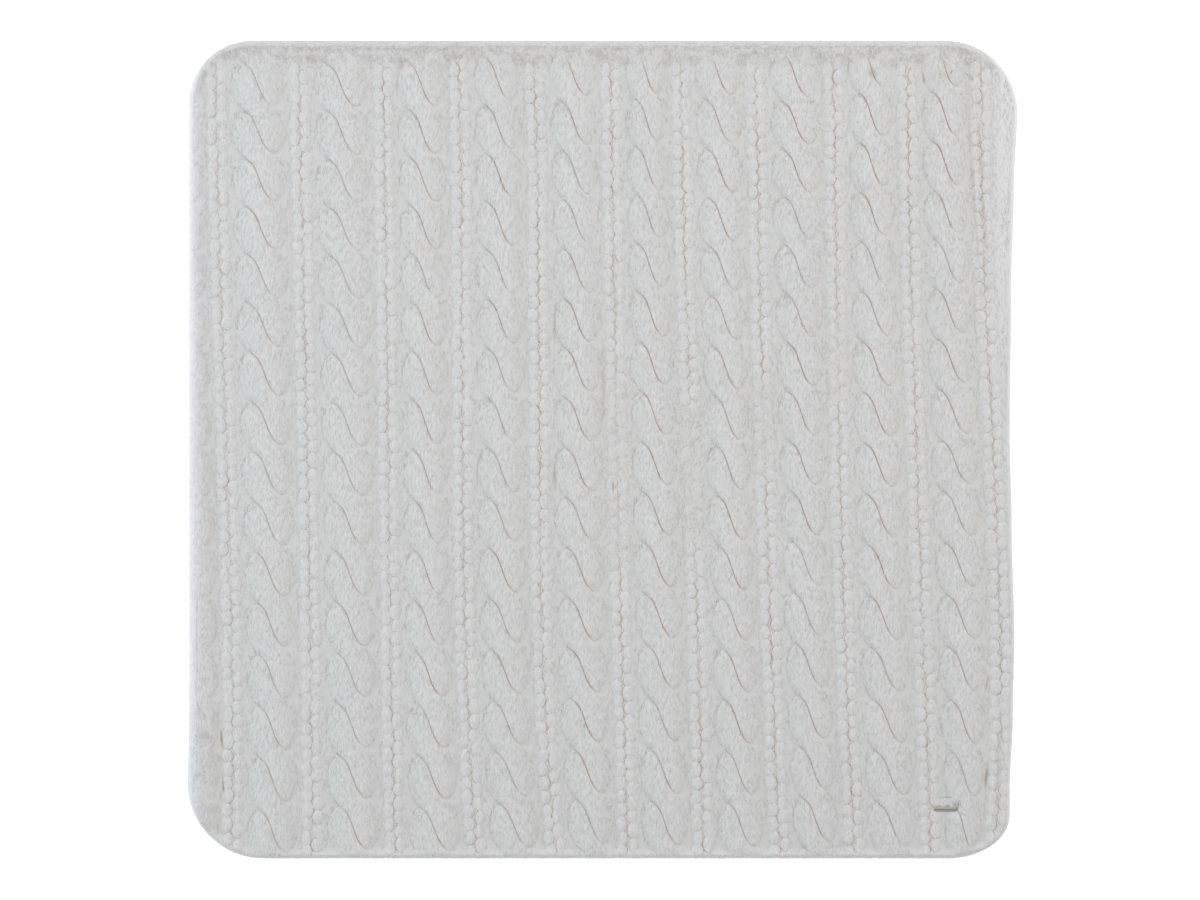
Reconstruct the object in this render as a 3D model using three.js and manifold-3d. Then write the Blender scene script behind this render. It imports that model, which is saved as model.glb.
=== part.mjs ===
// A small faux fur blanket, laid flat, with cables and bead strips carved in its pile, and a sewn-on metal tag.
// Millimetres, +Z up. The underside lies on z = 0, +Y points to the top edge and the origin is under the middle.
import * as THREE from 'three';
import { mergeVertices } from 'three/addons/utils/BufferGeometryUtils.js';
import Module from 'manifold-3d';

const wasm = await Module();
wasm.setup();

// Outline of the cloth: the four sides, and how far each rounded corner runs across and down.
const topY = 394;
const bottomY = -394;
const corners = {
  topRight: { across: 70, down: 70 },
  topLeft: { across: 62, down: 60 },
  bottomLeft: { across: 73, down: 73 },
  bottomRight: { across: 60, down: 42 },
};
const cornerSteps = 9;

// The two long sides wander a little: where each one is, from the top down.
const sides = [
  { y: 330, left: -398.5, right: 400 },
  { y: 250, left: -398.5, right: 396.5 },
  { y: 150, left: -398.5, right: 394 },
  { y: 20, left: -398.5, right: 392.5 },
  { y: -80, left: -398.5, right: 394.5 },
  { y: -180, left: -398.5, right: 397 },
  { y: -260, left: -398.5, right: 395.5 },
  { y: -325, left: -400, right: 392.5 },
];

// Heights in the pile.
const floorZ = 7.2;
const crownZ = 12;
const creaseShare = 0.35;
const stripCrestZ = 10.4;
const stripGrooveZ = 8.4;
const stripEdgeZ = 6.8;

// The soft edge, from the underside out and up over the rim: how far in from the outline, and how high.
const rim = [
  { inset: 1.5, z: 0 },
  { inset: 0, z: 2.5 },
  { inset: 1, z: 6 },
  { inset: 4, z: 9 },
  { inset: 9, z: 11 },
  { inset: 17, z: 12.4 },
];

// The middle of each strip of beads at four heights. The first row lies outside the cloth, and only bounds the
// cable that the left side cuts off.
const stationTopY = 375;
const stationStep = 250;
const strips = [
  { top: -455, upper: -436, lower: -421, bottom: -417.5 },
  { top: -372, upper: -366, lower: -358, bottom: -356 },
  { top: -292, upper: -286.5, lower: -281.5, bottom: -279 },
  { top: -212, upper: -207.5, lower: -204.5, bottom: -200 },
  { top: -138, upper: -135, lower: -133, bottom: -122 },
  { top: -66, upper: -61, lower: -59, bottom: -46 },
  { top: 8, upper: 12, lower: 17, bottom: 24.5 },
  { top: 74.5, upper: 81.5, lower: 90, bottom: 97 },
  { top: 147, upper: 152.5, lower: 160, bottom: 170 },
  { top: 222, upper: 226, lower: 231.5, bottom: 242 },
  { top: 293, upper: 298, lower: 306.5, bottom: 316 },
  { top: 364.5, upper: 369.5, lower: 381, bottom: 378 },
];

// The cables between them: where the middle of the first and the last crease lies, and how far the creases
// between them sit above an even spacing.
const creasesBetween = 15;
const cables = [
  { first: 350, last: -366, lift: 8 },
  { first: 351, last: -368, lift: 9 },
  { first: 350, last: -364.5, lift: 7 },
  { first: 351, last: -366, lift: 9 },
  { first: 356, last: -362.5, lift: 7 },
  { first: 361, last: -358.5, lift: 3 },
  { first: 362.5, last: -360.5, lift: 9 },
  { first: 361.5, last: -361.5, lift: 6 },
  { first: 359.5, last: -357, lift: 9 },
  { first: 369, last: -361.5, lift: 5 },
  { first: 369, last: -364, lift: 9 },
];

// One cable's own form.
const cableGap = 1.7;
const creaseDrop = 19;
const tipShare = 0.5;
const across = [-1, -0.65, 0, 0.65, 1];
const along = [
  { part: 0, fullness: 0 },
  { part: 0.18, fullness: 0.78 },
  { part: 0.5, fullness: 1 },
  { part: 0.82, fullness: 0.78 },
];
const roundness = 3.2;

// One strip's own form.
const stripHalf = 13;
const stripProfile = [
  { offset: -stripHalf, z: stripEdgeZ },
  { offset: -6.5, z: stripCrestZ },
  { offset: 0, z: stripGrooveZ },
  { offset: 6.5, z: stripCrestZ },
  { offset: stripHalf, z: stripEdgeZ },
];
const stripRow = 48;

// The slab in which the relief is laid out. It is larger than the cloth and is cut to the outline.
const slabX = 480;
const slabY = 444;
const slabUnderZ = -4;

// The metal tag, and the level seat that it presses in the pile.
const tag = { x: 330, y: -344.5, width: 22, height: 7, thickness: 1, corner: 1, bevel: 0.2, underZ: 8.4 };
const tagGap = 0.4;
const seatBorder = 2;

const furMaterial = new THREE.MeshStandardMaterial({ color: 0xd6d6d5, roughness: 0.95, metalness: 0 });
const tagMaterial = new THREE.MeshStandardMaterial({ color: 0x9a9b90, roughness: 0.35, metalness: 0.9 });

// A strip's middle at any height: a smooth curve through its four stations.
function stripX(strip, y) {
  const t = (stationTopY - y) / stationStep;
  return -strip.top * (t - 1) * (t - 2) * (t - 3) / 6
    + strip.upper * t * (t - 2) * (t - 3) / 2
    - strip.lower * t * (t - 1) * (t - 3) / 2
    + strip.bottom * t * (t - 1) * (t - 2) / 6;
}

// The middle of crease number n of a cable.
function creaseY(cable, n) {
  const share = n / creasesBetween;
  const lift = cable.lift * Math.sin(Math.PI * THREE.MathUtils.clamp(share, 0, 1));
  return THREE.MathUtils.lerp(cable.first, cable.last, share) + lift;
}

// How far a crease has dropped at a place across the cable, from -1 at the left to 1 at the right.
function creaseFall(place) {
  const share = THREE.MathUtils.clamp(place / tipShare, -1, 1);
  return creaseDrop * Math.sin(share * Math.PI / 2);
}

// A point on cable number c, from its crease n on: part of the way to the next one, and across the strand.
function cablePoint(c, n, row, place) {
  const cable = cables[c];
  const reach = tipShare + (1 - tipShare) * Math.sin(Math.PI * row.part) ** 0.7;
  const middleY = THREE.MathUtils.lerp(creaseY(cable, n), creaseY(cable, n + 1), row.part);
  const y = middleY - creaseFall(place * reach);
  const leftX = stripX(strips[c], y) + stripHalf + cableGap;
  const rightX = stripX(strips[c + 1], y) - stripHalf - cableGap;
  const x = THREE.MathUtils.lerp(leftX, rightX, 0.5 + 0.5 * place * reach);
  const dome = (1 - Math.abs(place) ** roundness) * THREE.MathUtils.lerp(creaseShare, 1, row.fullness);
  return [x, y, THREE.MathUtils.lerp(floorZ, crownZ, dome)];
}

// The columns of one cable, each a chain of points from the top of the slab down.
function cableColumns(c) {
  return across.map((place) => {
    const chain = [];
    for (let n = -1; n <= creasesBetween + 1; n += 1) {
      for (const row of along) chain.push(cablePoint(c, n, row, place));
    }
    const top = [chain[0][0], slabY, floorZ];
    const end = [chain[chain.length - 1][0], -slabY, floorZ];
    return [top, ...chain, end];
  });
}

// The columns of one strip: its two rows of beads show as a double rib.
function stripColumns(strip) {
  const rows = Math.round(2 * slabY / stripRow);
  return stripProfile.map(({ offset, z }) => {
    const chain = [];
    for (let i = 0; i <= rows; i += 1) {
      const y = slabY - 2 * slabY * i / rows;
      chain.push([stripX(strip, y) + offset, y, z]);
    }
    return chain;
  });
}

// Joins two columns of the same steps row by row, with the diagonals along the strands.
function weave(triangles, left, right) {
  for (let i = 0; i + 1 < left.length; i += 1) {
    triangles.push([left[i], left[i + 1], right[i]], [left[i + 1], right[i + 1], right[i]]);
  }
}

// Joins two neighbouring chains of different steps with triangles that face up, the left chain first.
function zip(points, triangles, left, right) {
  let i = 0;
  let j = 0;
  while (i < left.length - 1 || j < right.length - 1) {
    const nextLeft = i < left.length - 1 ? points[left[i + 1]][1] : -Infinity;
    const nextRight = j < right.length - 1 ? points[right[j + 1]][1] : -Infinity;
    if (nextLeft >= nextRight) {
      triangles.push([left[i], left[i + 1], right[j]]);
      i += 1;
    } else {
      triangles.push([left[i], right[j + 1], right[j]]);
      j += 1;
    }
  }
}

// Turns points and triangles into a solid.
function solid(points, triangles) {
  return new wasm.Manifold(new wasm.Mesh({
    numProp: 3,
    vertProperties: new Float32Array(points.flat()),
    triVerts: new Uint32Array(triangles.flat()),
  }));
}

// Turns a closed three.js geometry into a solid.
function solidOf(geometry) {
  const bare = geometry.clone();
  bare.deleteAttribute('normal');
  bare.deleteAttribute('uv');
  const merged = mergeVertices(bare, 1e-4);
  return new wasm.Manifold(new wasm.Mesh({
    numProp: 3,
    vertProperties: new Float32Array(merged.attributes.position.array),
    triVerts: new Uint32Array(merged.index.array),
  }));
}

// Turns a solid back into a geometry with flat faces.
function geometryOf(body) {
  const mesh = body.getMesh();
  const geometry = new THREE.BufferGeometry();
  geometry.setAttribute('position', new THREE.BufferAttribute(new Float32Array(mesh.vertProperties), 3));
  geometry.setIndex(new THREE.BufferAttribute(new Uint32Array(mesh.triVerts), 1));
  const flat = geometry.toNonIndexed();
  flat.computeVertexNormals();
  return flat;
}

// The relief slab: plain border, strip, cable, strip and so on to the right border, with a flat underside.
function reliefSlab() {
  const points = [];
  const triangles = [];
  const chains = [];
  const addBand = (columns) => {
    const band = columns.map((column) => column.map((point) => points.push(point) - 1));
    for (let i = 0; i + 1 < band.length; i += 1) weave(triangles, band[i], band[i + 1]);
    if (chains.length) zip(points, triangles, chains[chains.length - 1], band[0]);
    chains.push(...band);
  };
  addBand([[[-slabX, slabY, floorZ], [-slabX, -slabY, floorZ]]]);
  strips.forEach((strip, s) => {
    addBand(stripColumns(strip));
    if (s < cables.length) addBand(cableColumns(s));
  });
  addBand([[[slabX, slabY, floorZ], [slabX, -slabY, floorZ]]]);

  const under = (x, y) => points.push([x, y, slabUnderZ]) - 1;
  const topLeft = under(-slabX, slabY);
  const topRight = under(slabX, slabY);
  const bottomLeft = under(-slabX, -slabY);
  const bottomRight = under(slabX, -slabY);
  const tops = chains.map((chain) => chain[0]);
  const ends = chains.map((chain) => chain[chain.length - 1]);
  const last = chains.length - 1;
  for (let i = 0; i < last; i += 1) {
    triangles.push([tops[i], tops[i + 1], topRight]);
    triangles.push([ends[i + 1], ends[i], bottomLeft]);
  }
  triangles.push([tops[0], topRight, topLeft]);
  triangles.push([ends[last], bottomLeft, bottomRight]);
  triangles.push([tops[0], topLeft, bottomLeft], [tops[0], bottomLeft, ends[0]]);
  triangles.push([tops[last], bottomRight, topRight], [tops[last], ends[last], bottomRight]);
  triangles.push([topLeft, topRight, bottomRight], [topLeft, bottomRight, bottomLeft]);
  return solid(points, triangles);
}

// A rounded corner as points on a quarter of an ellipse, counterclockwise from the given angle.
function cornerPoints(centreX, centreY, corner, startAngle) {
  const points = [];
  for (let i = 0; i <= cornerSteps; i += 1) {
    const angle = startAngle + (Math.PI / 2) * i / cornerSteps;
    points.push(new THREE.Vector2(
      centreX + corner.across * Math.cos(angle),
      centreY + corner.down * Math.sin(angle),
    ));
  }
  return points;
}

// The cloth's outline, counterclockwise from the lower end of the right side.
function outline() {
  const first = sides[0];
  const last = sides[sides.length - 1];
  const { topRight, topLeft, bottomLeft, bottomRight } = corners;
  const between = sides.slice(1, -1);
  return [
    ...cornerPoints(last.right - bottomRight.across, bottomY + bottomRight.down, bottomRight, -Math.PI / 2),
    ...between.map(({ y, right }) => new THREE.Vector2(right, y)).reverse(),
    ...cornerPoints(first.right - topRight.across, topY - topRight.down, topRight, 0),
    ...cornerPoints(first.left + topLeft.across, topY - topLeft.down, topLeft, Math.PI / 2),
    ...between.map(({ y, left }) => new THREE.Vector2(left, y)),
    ...cornerPoints(last.left + bottomLeft.across, bottomY + bottomLeft.down, bottomLeft, Math.PI),
  ];
}

// The same outline moved inwards along each corner's own normal.
function insetOutline(points, inset) {
  return points.map((point, i) => {
    const before = points[(i + points.length - 1) % points.length];
    const after = points[(i + 1) % points.length];
    const direction = new THREE.Vector2().subVectors(after, before).normalize();
    return new THREE.Vector2(point.x - direction.y * inset, point.y + direction.x * inset);
  });
}

// The soft-edged body that the relief is cut to: rings of the outline from the underside to the top.
function edgeBody() {
  const base = outline();
  const count = base.length;
  const rings = rim.map(({ inset, z }) => insetOutline(base, inset).map(({ x, y }) => [x, y, z]));
  const points = rings.flat();
  const triangles = [];
  for (let r = 0; r + 1 < rings.length; r += 1) {
    for (let i = 0; i < count; i += 1) {
      const a = r * count + i;
      const b = r * count + (i + 1) % count;
      triangles.push([a, b, b + count], [a, b + count, a + count]);
    }
  }
  const lid = (ring) => THREE.ShapeUtils.triangulateShape(ring.map(([x, y]) => new THREE.Vector2(x, y)), []);
  const topStart = (rings.length - 1) * count;
  for (const [a, b, c] of lid(rings[rings.length - 1])) triangles.push([topStart + a, topStart + b, topStart + c]);
  for (const [a, b, c] of lid(rings[0])) triangles.push([c, b, a]);
  return solid(points, triangles);
}

// A rectangle with round corners about its own middle.
function roundedShape(width, height, corner) {
  const x = width / 2 - corner;
  const y = height / 2 - corner;
  const shape = new THREE.Shape();
  shape.absarc(x, y, corner, 0, Math.PI / 2);
  shape.absarc(-x, y, corner, Math.PI / 2, Math.PI);
  shape.absarc(-x, -y, corner, Math.PI, Math.PI * 1.5);
  shape.absarc(x, -y, corner, Math.PI * 1.5, Math.PI * 2);
  return shape;
}

function tagGeometry() {
  const { width, height, thickness, corner, bevel } = tag;
  const geometry = new THREE.ExtrudeGeometry(roundedShape(width - 2 * bevel, height - 2 * bevel, corner - bevel), {
    depth: thickness - 2 * bevel,
    bevelThickness: bevel,
    bevelSize: bevel,
    bevelSegments: 1,
    curveSegments: 4,
  });
  return geometry.translate(0, 0, bevel);
}

// A block around the tag, a little larger all round, between two heights.
function tagBlock(border, lowZ, highZ) {
  const geometry = new THREE.ExtrudeGeometry(
    roundedShape(tag.width + 2 * border, tag.height + 2 * border, tag.corner),
    { depth: highZ - lowZ, bevelEnabled: false, curveSegments: 3 },
  );
  return solidOf(geometry.translate(tag.x, tag.y, lowZ));
}

// The pile is pressed level under the tag: its valleys are filled and what stands above is cleared.
const seatZ = tag.underZ - tagGap;
const furBody = reliefSlab()
  .intersect(edgeBody())
  .add(tagBlock(seatBorder, rim[1].z, seatZ))
  .subtract(tagBlock(tagGap, seatZ, 2 * crownZ));

const blanket = new THREE.Mesh(geometryOf(furBody), furMaterial);
blanket.name = 'blanket';

const tagPlate = new THREE.Mesh(tagGeometry(), tagMaterial);
tagPlate.name = 'tag';
tagPlate.position.set(tag.x, tag.y, tag.underZ);

const fauxFurBlanket = new THREE.Group();
fauxFurBlanket.add(blanket, tagPlate);

export default fauxFurBlanket;
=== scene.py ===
# A small faux fur blanket, laid flat: cables and strips of beads carved in its pile, and a small metal tag.
# Metres, +Z up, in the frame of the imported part.
import math

import bmesh
import bpy
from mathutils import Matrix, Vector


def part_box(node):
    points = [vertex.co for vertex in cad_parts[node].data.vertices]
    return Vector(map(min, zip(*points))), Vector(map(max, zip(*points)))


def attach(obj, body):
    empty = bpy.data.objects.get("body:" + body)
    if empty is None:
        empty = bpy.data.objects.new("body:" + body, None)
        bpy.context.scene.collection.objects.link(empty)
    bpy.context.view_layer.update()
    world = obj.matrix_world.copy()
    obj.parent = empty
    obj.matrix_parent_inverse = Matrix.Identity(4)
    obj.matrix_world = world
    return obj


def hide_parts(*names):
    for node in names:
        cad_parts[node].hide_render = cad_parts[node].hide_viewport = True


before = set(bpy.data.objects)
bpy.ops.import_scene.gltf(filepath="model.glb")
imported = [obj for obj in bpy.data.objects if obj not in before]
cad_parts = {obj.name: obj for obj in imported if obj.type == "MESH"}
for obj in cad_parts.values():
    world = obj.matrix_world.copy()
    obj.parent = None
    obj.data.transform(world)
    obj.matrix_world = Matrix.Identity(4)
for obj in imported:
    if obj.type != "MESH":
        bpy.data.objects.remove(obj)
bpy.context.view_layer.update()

scene = bpy.context.scene


# Node trees, for shapes and for finishes

class Wire:  # a socket that ordinary sums can be written with
    def __init__(self, graph, socket):
        self.graph = graph
        self.socket = socket

    def maths(self, operation, *values):
        return self.graph.add("ShaderNodeMath", {"operation": operation}, dict(enumerate(values)))

    def __add__(self, other):
        return self.maths("ADD", self, other)

    def __radd__(self, other):
        return self.maths("ADD", other, self)

    def __sub__(self, other):
        return self.maths("SUBTRACT", self, other)

    def __rsub__(self, other):
        return self.maths("SUBTRACT", other, self)

    def __mul__(self, other):
        return self.maths("MULTIPLY", self, other)

    def __rmul__(self, other):
        return self.maths("MULTIPLY", other, self)

    def __truediv__(self, other):
        return self.maths("DIVIDE", self, other)

    def __pow__(self, other):
        return self.maths("POWER", self, other)

    def __abs__(self):
        return self.maths("ABSOLUTE", self)

    def __lt__(self, other):
        return self.maths("LESS_THAN", self, other)

    def __gt__(self, other):
        return self.maths("GREATER_THAN", self, other)

    def floor(self):
        return self.maths("FLOOR", self)

    def sine(self):
        return self.maths("SINE", self)

    def cosine(self):
        return self.maths("COSINE", self)

    def least(self, other):
        return self.maths("MINIMUM", self, other)

    def most(self, other):
        return self.maths("MAXIMUM", self, other)

    def limit(self, low, high):
        return self.maths("MINIMUM", self.maths("MAXIMUM", self, low), high)

    def rise(self, low, high):  # 0 below low, 1 above high, smooth between
        return self.graph.add("ShaderNodeMapRange", {"interpolation_type": "SMOOTHSTEP"}, {
            "Value": self, "From Min": low, "From Max": high, "To Min": 0.0, "To Max": 1.0})


class Graph:  # a node tree, with the one way in which nodes are added to it
    def __init__(self, tree):
        self.tree = tree

    def add(self, kind, settings=None, inputs=None, output=0):
        node = self.tree.nodes.new(kind)
        for key, value in (settings or {}).items():
            if key == "items":
                while len(node.index_switch_items) < value:
                    node.index_switch_items.new()
            else:
                setattr(node, key, value)
        for key, value in (inputs or {}).items():
            for one in value if isinstance(value, list) else [value]:
                if isinstance(one, Wire):
                    self.tree.links.new(one.socket, node.inputs[key])
                else:
                    node.inputs[key].default_value = one
        return Wire(self, node.outputs[output])

    def parts(self, vector):
        node = self.add("ShaderNodeSeparateXYZ", None, {0: vector}).socket.node
        return [Wire(self, socket) for socket in node.outputs]

    def vector(self, x, y, z):
        return self.add("ShaderNodeCombineXYZ", None, {0: x, 1: y, 2: z})

    def noise(self, vector, scale, detail=2.0, roughness=0.5):
        return self.add("ShaderNodeTexNoise", {"noise_dimensions": "3D"}, {
            "Vector": vector, "Scale": scale, "Detail": detail, "Roughness": roughness})

    def pick(self, index, values):  # the value that a table holds for this index
        inputs = {"Index": index}
        inputs.update({i + 1: value for i, value in enumerate(values)})
        return self.add("GeometryNodeIndexSwitch", {"data_type": "FLOAT", "items": len(values)}, inputs)

    def here(self):  # x, y and z of each point of a mesh
        return self.parts(self.add("GeometryNodeInputPosition"))

    def stored(self, name):
        return self.add("GeometryNodeInputNamedAttribute", {"data_type": "FLOAT"}, {"Name": name})

    def store(self, geometry, name, value):
        return self.add("GeometryNodeStoreNamedAttribute", {"data_type": "FLOAT", "domain": "POINT"}, {
            "Geometry": geometry, "Name": name, "Value": value})

    def moved(self, geometry, position):
        return self.add("GeometryNodeSetPosition", None, {"Geometry": geometry, "Position": position})

    def random(self, low, high, seed):
        return self.add("FunctionNodeRandomValue", {"data_type": "FLOAT"}, {
            2: low, 3: high, "Seed": seed}, 1)

    def mixed(self, factor, a, b):  # two colours
        first, second = (tone if isinstance(tone, Wire) else (*tone, 1) for tone in (a, b))
        return self.add("ShaderNodeMix", {"data_type": "RGBA"}, {"Factor": factor, 6: first, 7: second}, 2)


def blendOf(a, b, share):
    return a + (b - a) * share


def newTree(name, sizes):  # an empty tree with one named input for each size
    tree = bpy.data.node_groups.new(name, "GeometryNodeTree")
    tree.interface.new_socket("Geometry", in_out="INPUT", socket_type="NodeSocketGeometry")
    for key, value in sizes.items():
        kind = "NodeSocketInt" if isinstance(value, int) else "NodeSocketFloat"
        tree.interface.new_socket(key, in_out="INPUT", socket_type=kind).default_value = value
    tree.interface.new_socket("Geometry", in_out="OUTPUT", socket_type="NodeSocketGeometry")
    graph = Graph(tree)
    source = tree.nodes.new("NodeGroupInput")
    return graph, {socket.name: Wire(graph, socket) for socket in source.outputs if socket.name}


flatMap = {"name": "OFBake", "span": 0.84, "slant": 0.5, "turned": -0.1}


def layFlat(graph, geometry, twoSided):  # a map seen from above, with an underside apart from the top
    x, y, z = graph.here()
    u = x / flatMap["span"] + 0.5
    v = (y + z * flatMap["slant"]) / flatMap["span"] + 0.5
    if twoSided:
        facing = graph.parts(graph.add("GeometryNodeInputNormal"))[2]
        v = v * 0.5 + (facing > flatMap["turned"]) * 0.5
    return graph.add("GeometryNodeStoreNamedAttribute", {"data_type": "FLOAT2", "domain": "CORNER"}, {
        "Geometry": geometry, "Name": flatMap["name"], "Value": graph.vector(u, v, 0.0)})


def endTree(graph, geometry, material, twoSided=False):
    whole = graph.add("GeometryNodeRealizeInstances", None, {"Geometry": geometry})
    whole = layFlat(graph, whole, twoSided)
    dressed = graph.add("GeometryNodeSetMaterial", None, {"Geometry": whole, "Material": material})
    sink = graph.tree.nodes.new("NodeGroupOutput")
    graph.tree.links.new(dressed.socket, sink.inputs[0])


def grow(name, base, tree, sizes):  # runs a tree on a mesh and returns the plain piece
    seed = bpy.data.objects.new(name + "Seed", base)
    scene.collection.objects.link(seed)
    modifier = seed.modifiers.new("grow", "NODES")
    modifier.node_group = tree
    for item in tree.interface.items_tree:
        if item.in_out == "INPUT" and item.name in sizes:
            modifier[item.identifier] = sizes[item.name]
    bpy.context.view_layer.update()
    around = bpy.context.evaluated_depsgraph_get()
    mesh = bpy.data.meshes.new_from_object(
        seed.evaluated_get(around), preserve_all_data_layers=True, depsgraph=around)
    bpy.data.objects.remove(seed)
    bpy.data.meshes.remove(base)
    mesh.name = name
    piece = bpy.data.objects.new(name, mesh)
    scene.collection.objects.link(piece)
    return piece


# Camera, floor and light

photoWidth = 1200
photoHeight = 900
photoScale = 0.000963  # metres to a pixel of the photograph
view = {
    "middleX": 602.5, "middleY": 449.5,  # where the blanket's middle is in the photograph
    "height": 3.2, "clothZ": 0.006, "sensor": 0.036, "farthest": 50.0,
}

cameraData = bpy.data.cameras.new("above")
camera = bpy.data.objects.new("above", cameraData)
camera.location = (
    (photoWidth / 2 - view["middleX"]) * photoScale,
    (view["middleY"] - photoHeight / 2) * photoScale,
    view["height"])
cameraData.sensor_width = view["sensor"] * 1000
cameraData.lens = view["sensor"] * 1000 * (view["height"] - view["clothZ"]) / (photoWidth * photoScale)
cameraData.clip_end = view["farthest"]
scene.collection.objects.link(camera)
scene.camera = camera

studio = {
    "floorSize": 12.0, "floorTone": 0.62, "floorGlow": 0.62, "floorRoughness": 0.9, "floorDrop": 0.0005,
    "world": 0.67,
    "lamps": [
        {"name": "overhead", "place": (-0.3, 0.5, 1.6), "size": 1.0, "power": 4.2, "tone": (1, 0.995, 0.985)},
        {"name": "right", "place": (1.7, 0.9, 1.0), "size": 1.2, "power": 12, "tone": (1, 0.975, 0.955)},
        {"name": "left", "place": (-2.6, 0.5, 1.4), "size": 1.6, "power": 28, "tone": (0.88, 0.95, 1)},
    ],
}


def makeStudio():
    material = bpy.data.materials.new("paleFloor")
    material.use_nodes = True
    shader = material.node_tree.nodes["Principled BSDF"]
    shader.inputs["Base Color"].default_value = (studio["floorTone"],) * 3 + (1,)
    shader.inputs["Roughness"].default_value = studio["floorRoughness"]
    shader.inputs["Emission Color"].default_value = (1, 1, 1, 1)
    shader.inputs["Emission Strength"].default_value = studio["floorGlow"]
    half = studio["floorSize"] / 2
    mesh = bpy.data.meshes.new("floor")
    corners = [(-half, -half, 0), (half, -half, 0), (half, half, 0), (-half, half, 0)]
    mesh.from_pydata(corners, [], [(0, 1, 2, 3)])
    mesh.materials.append(material)
    floor = bpy.data.objects.new("floor", mesh)
    floor.location.z = -studio["floorDrop"]
    scene.collection.objects.link(floor)

    world = bpy.data.worlds.new("softRoom")
    world.use_nodes = True
    world.node_tree.nodes["Background"].inputs["Color"].default_value = (1, 1, 1, 1)
    world.node_tree.nodes["Background"].inputs["Strength"].default_value = studio["world"]
    scene.world = world
    for lamp in studio["lamps"]:
        data = bpy.data.lights.new(lamp["name"], "AREA")
        data.size = lamp["size"]
        data.energy = lamp["power"]
        data.color = lamp["tone"]
        lampObject = bpy.data.objects.new(lamp["name"], data)
        lampObject.location = lamp["place"]
        lampObject.rotation_mode = "QUATERNION"
        lampObject.rotation_quaternion = lampObject.location.to_track_quat("Z", "Y")
        scene.collection.objects.link(lampObject)
    scene.view_settings.view_transform = "Standard"


makeStudio()
print("studio ready")


# The cloth: the soft-edged outline, and the relief that is carved in its pile

outline = {
    "topY": 0.394, "bottomY": -0.394, "cornerSteps": 22, "sideStep": 0.006,
    "topRight": (0.070, 0.070), "topLeft": (0.062, 0.060),  # how far each corner runs across and down
    "bottomLeft": (0.073, 0.073), "bottomRight": (0.060, 0.042),
}

sides = [  # where the two long sides are, from the top down
    {"y": 0.330, "left": -0.3985, "right": 0.4000},
    {"y": 0.250, "left": -0.3985, "right": 0.3965},
    {"y": 0.150, "left": -0.3985, "right": 0.3940},
    {"y": 0.020, "left": -0.3985, "right": 0.3925},
    {"y": -0.080, "left": -0.3985, "right": 0.3945},
    {"y": -0.180, "left": -0.3985, "right": 0.3970},
    {"y": -0.260, "left": -0.3985, "right": 0.3955},
    {"y": -0.325, "left": -0.4000, "right": 0.3925},
]

rim = {"underInset": 0.0015, "foot": 0.0025, "width": 0.010, "top": 0.0124, "steps": 9, "lowest": 0.0001}

strips = [  # the middle of each strip of beads at four heights
    {"top": -0.4550, "upper": -0.4360, "lower": -0.4210, "bottom": -0.4175},
    {"top": -0.3720, "upper": -0.3660, "lower": -0.3580, "bottom": -0.3560},
    {"top": -0.2920, "upper": -0.2865, "lower": -0.2815, "bottom": -0.2790},
    {"top": -0.2120, "upper": -0.2075, "lower": -0.2045, "bottom": -0.2000},
    {"top": -0.1380, "upper": -0.1350, "lower": -0.1330, "bottom": -0.1220},
    {"top": -0.0660, "upper": -0.0610, "lower": -0.0590, "bottom": -0.0460},
    {"top": 0.0080, "upper": 0.0120, "lower": 0.0170, "bottom": 0.0245},
    {"top": 0.0745, "upper": 0.0815, "lower": 0.0900, "bottom": 0.0970},
    {"top": 0.1470, "upper": 0.1525, "lower": 0.1600, "bottom": 0.1700},
    {"top": 0.2220, "upper": 0.2260, "lower": 0.2315, "bottom": 0.2420},
    {"top": 0.2930, "upper": 0.2980, "lower": 0.3065, "bottom": 0.3160},
    {"top": 0.3645, "upper": 0.3695, "lower": 0.3810, "bottom": 0.3780},
]

cables = [  # the middle of the first and the last crease, and how far those between are above even spacing
    {"first": 0.3500, "last": -0.3660, "lift": 0.008},
    {"first": 0.3510, "last": -0.3680, "lift": 0.009},
    {"first": 0.3500, "last": -0.3645, "lift": 0.007},
    {"first": 0.3510, "last": -0.3660, "lift": 0.009},
    {"first": 0.3560, "last": -0.3625, "lift": 0.007},
    {"first": 0.3610, "last": -0.3585, "lift": 0.003},
    {"first": 0.3625, "last": -0.3605, "lift": 0.009},
    {"first": 0.3615, "last": -0.3615, "lift": 0.006},
    {"first": 0.3595, "last": -0.3570, "lift": 0.009},
    {"first": 0.3690, "last": -0.3615, "lift": 0.005},
    {"first": 0.3690, "last": -0.3640, "lift": 0.009},
]

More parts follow.
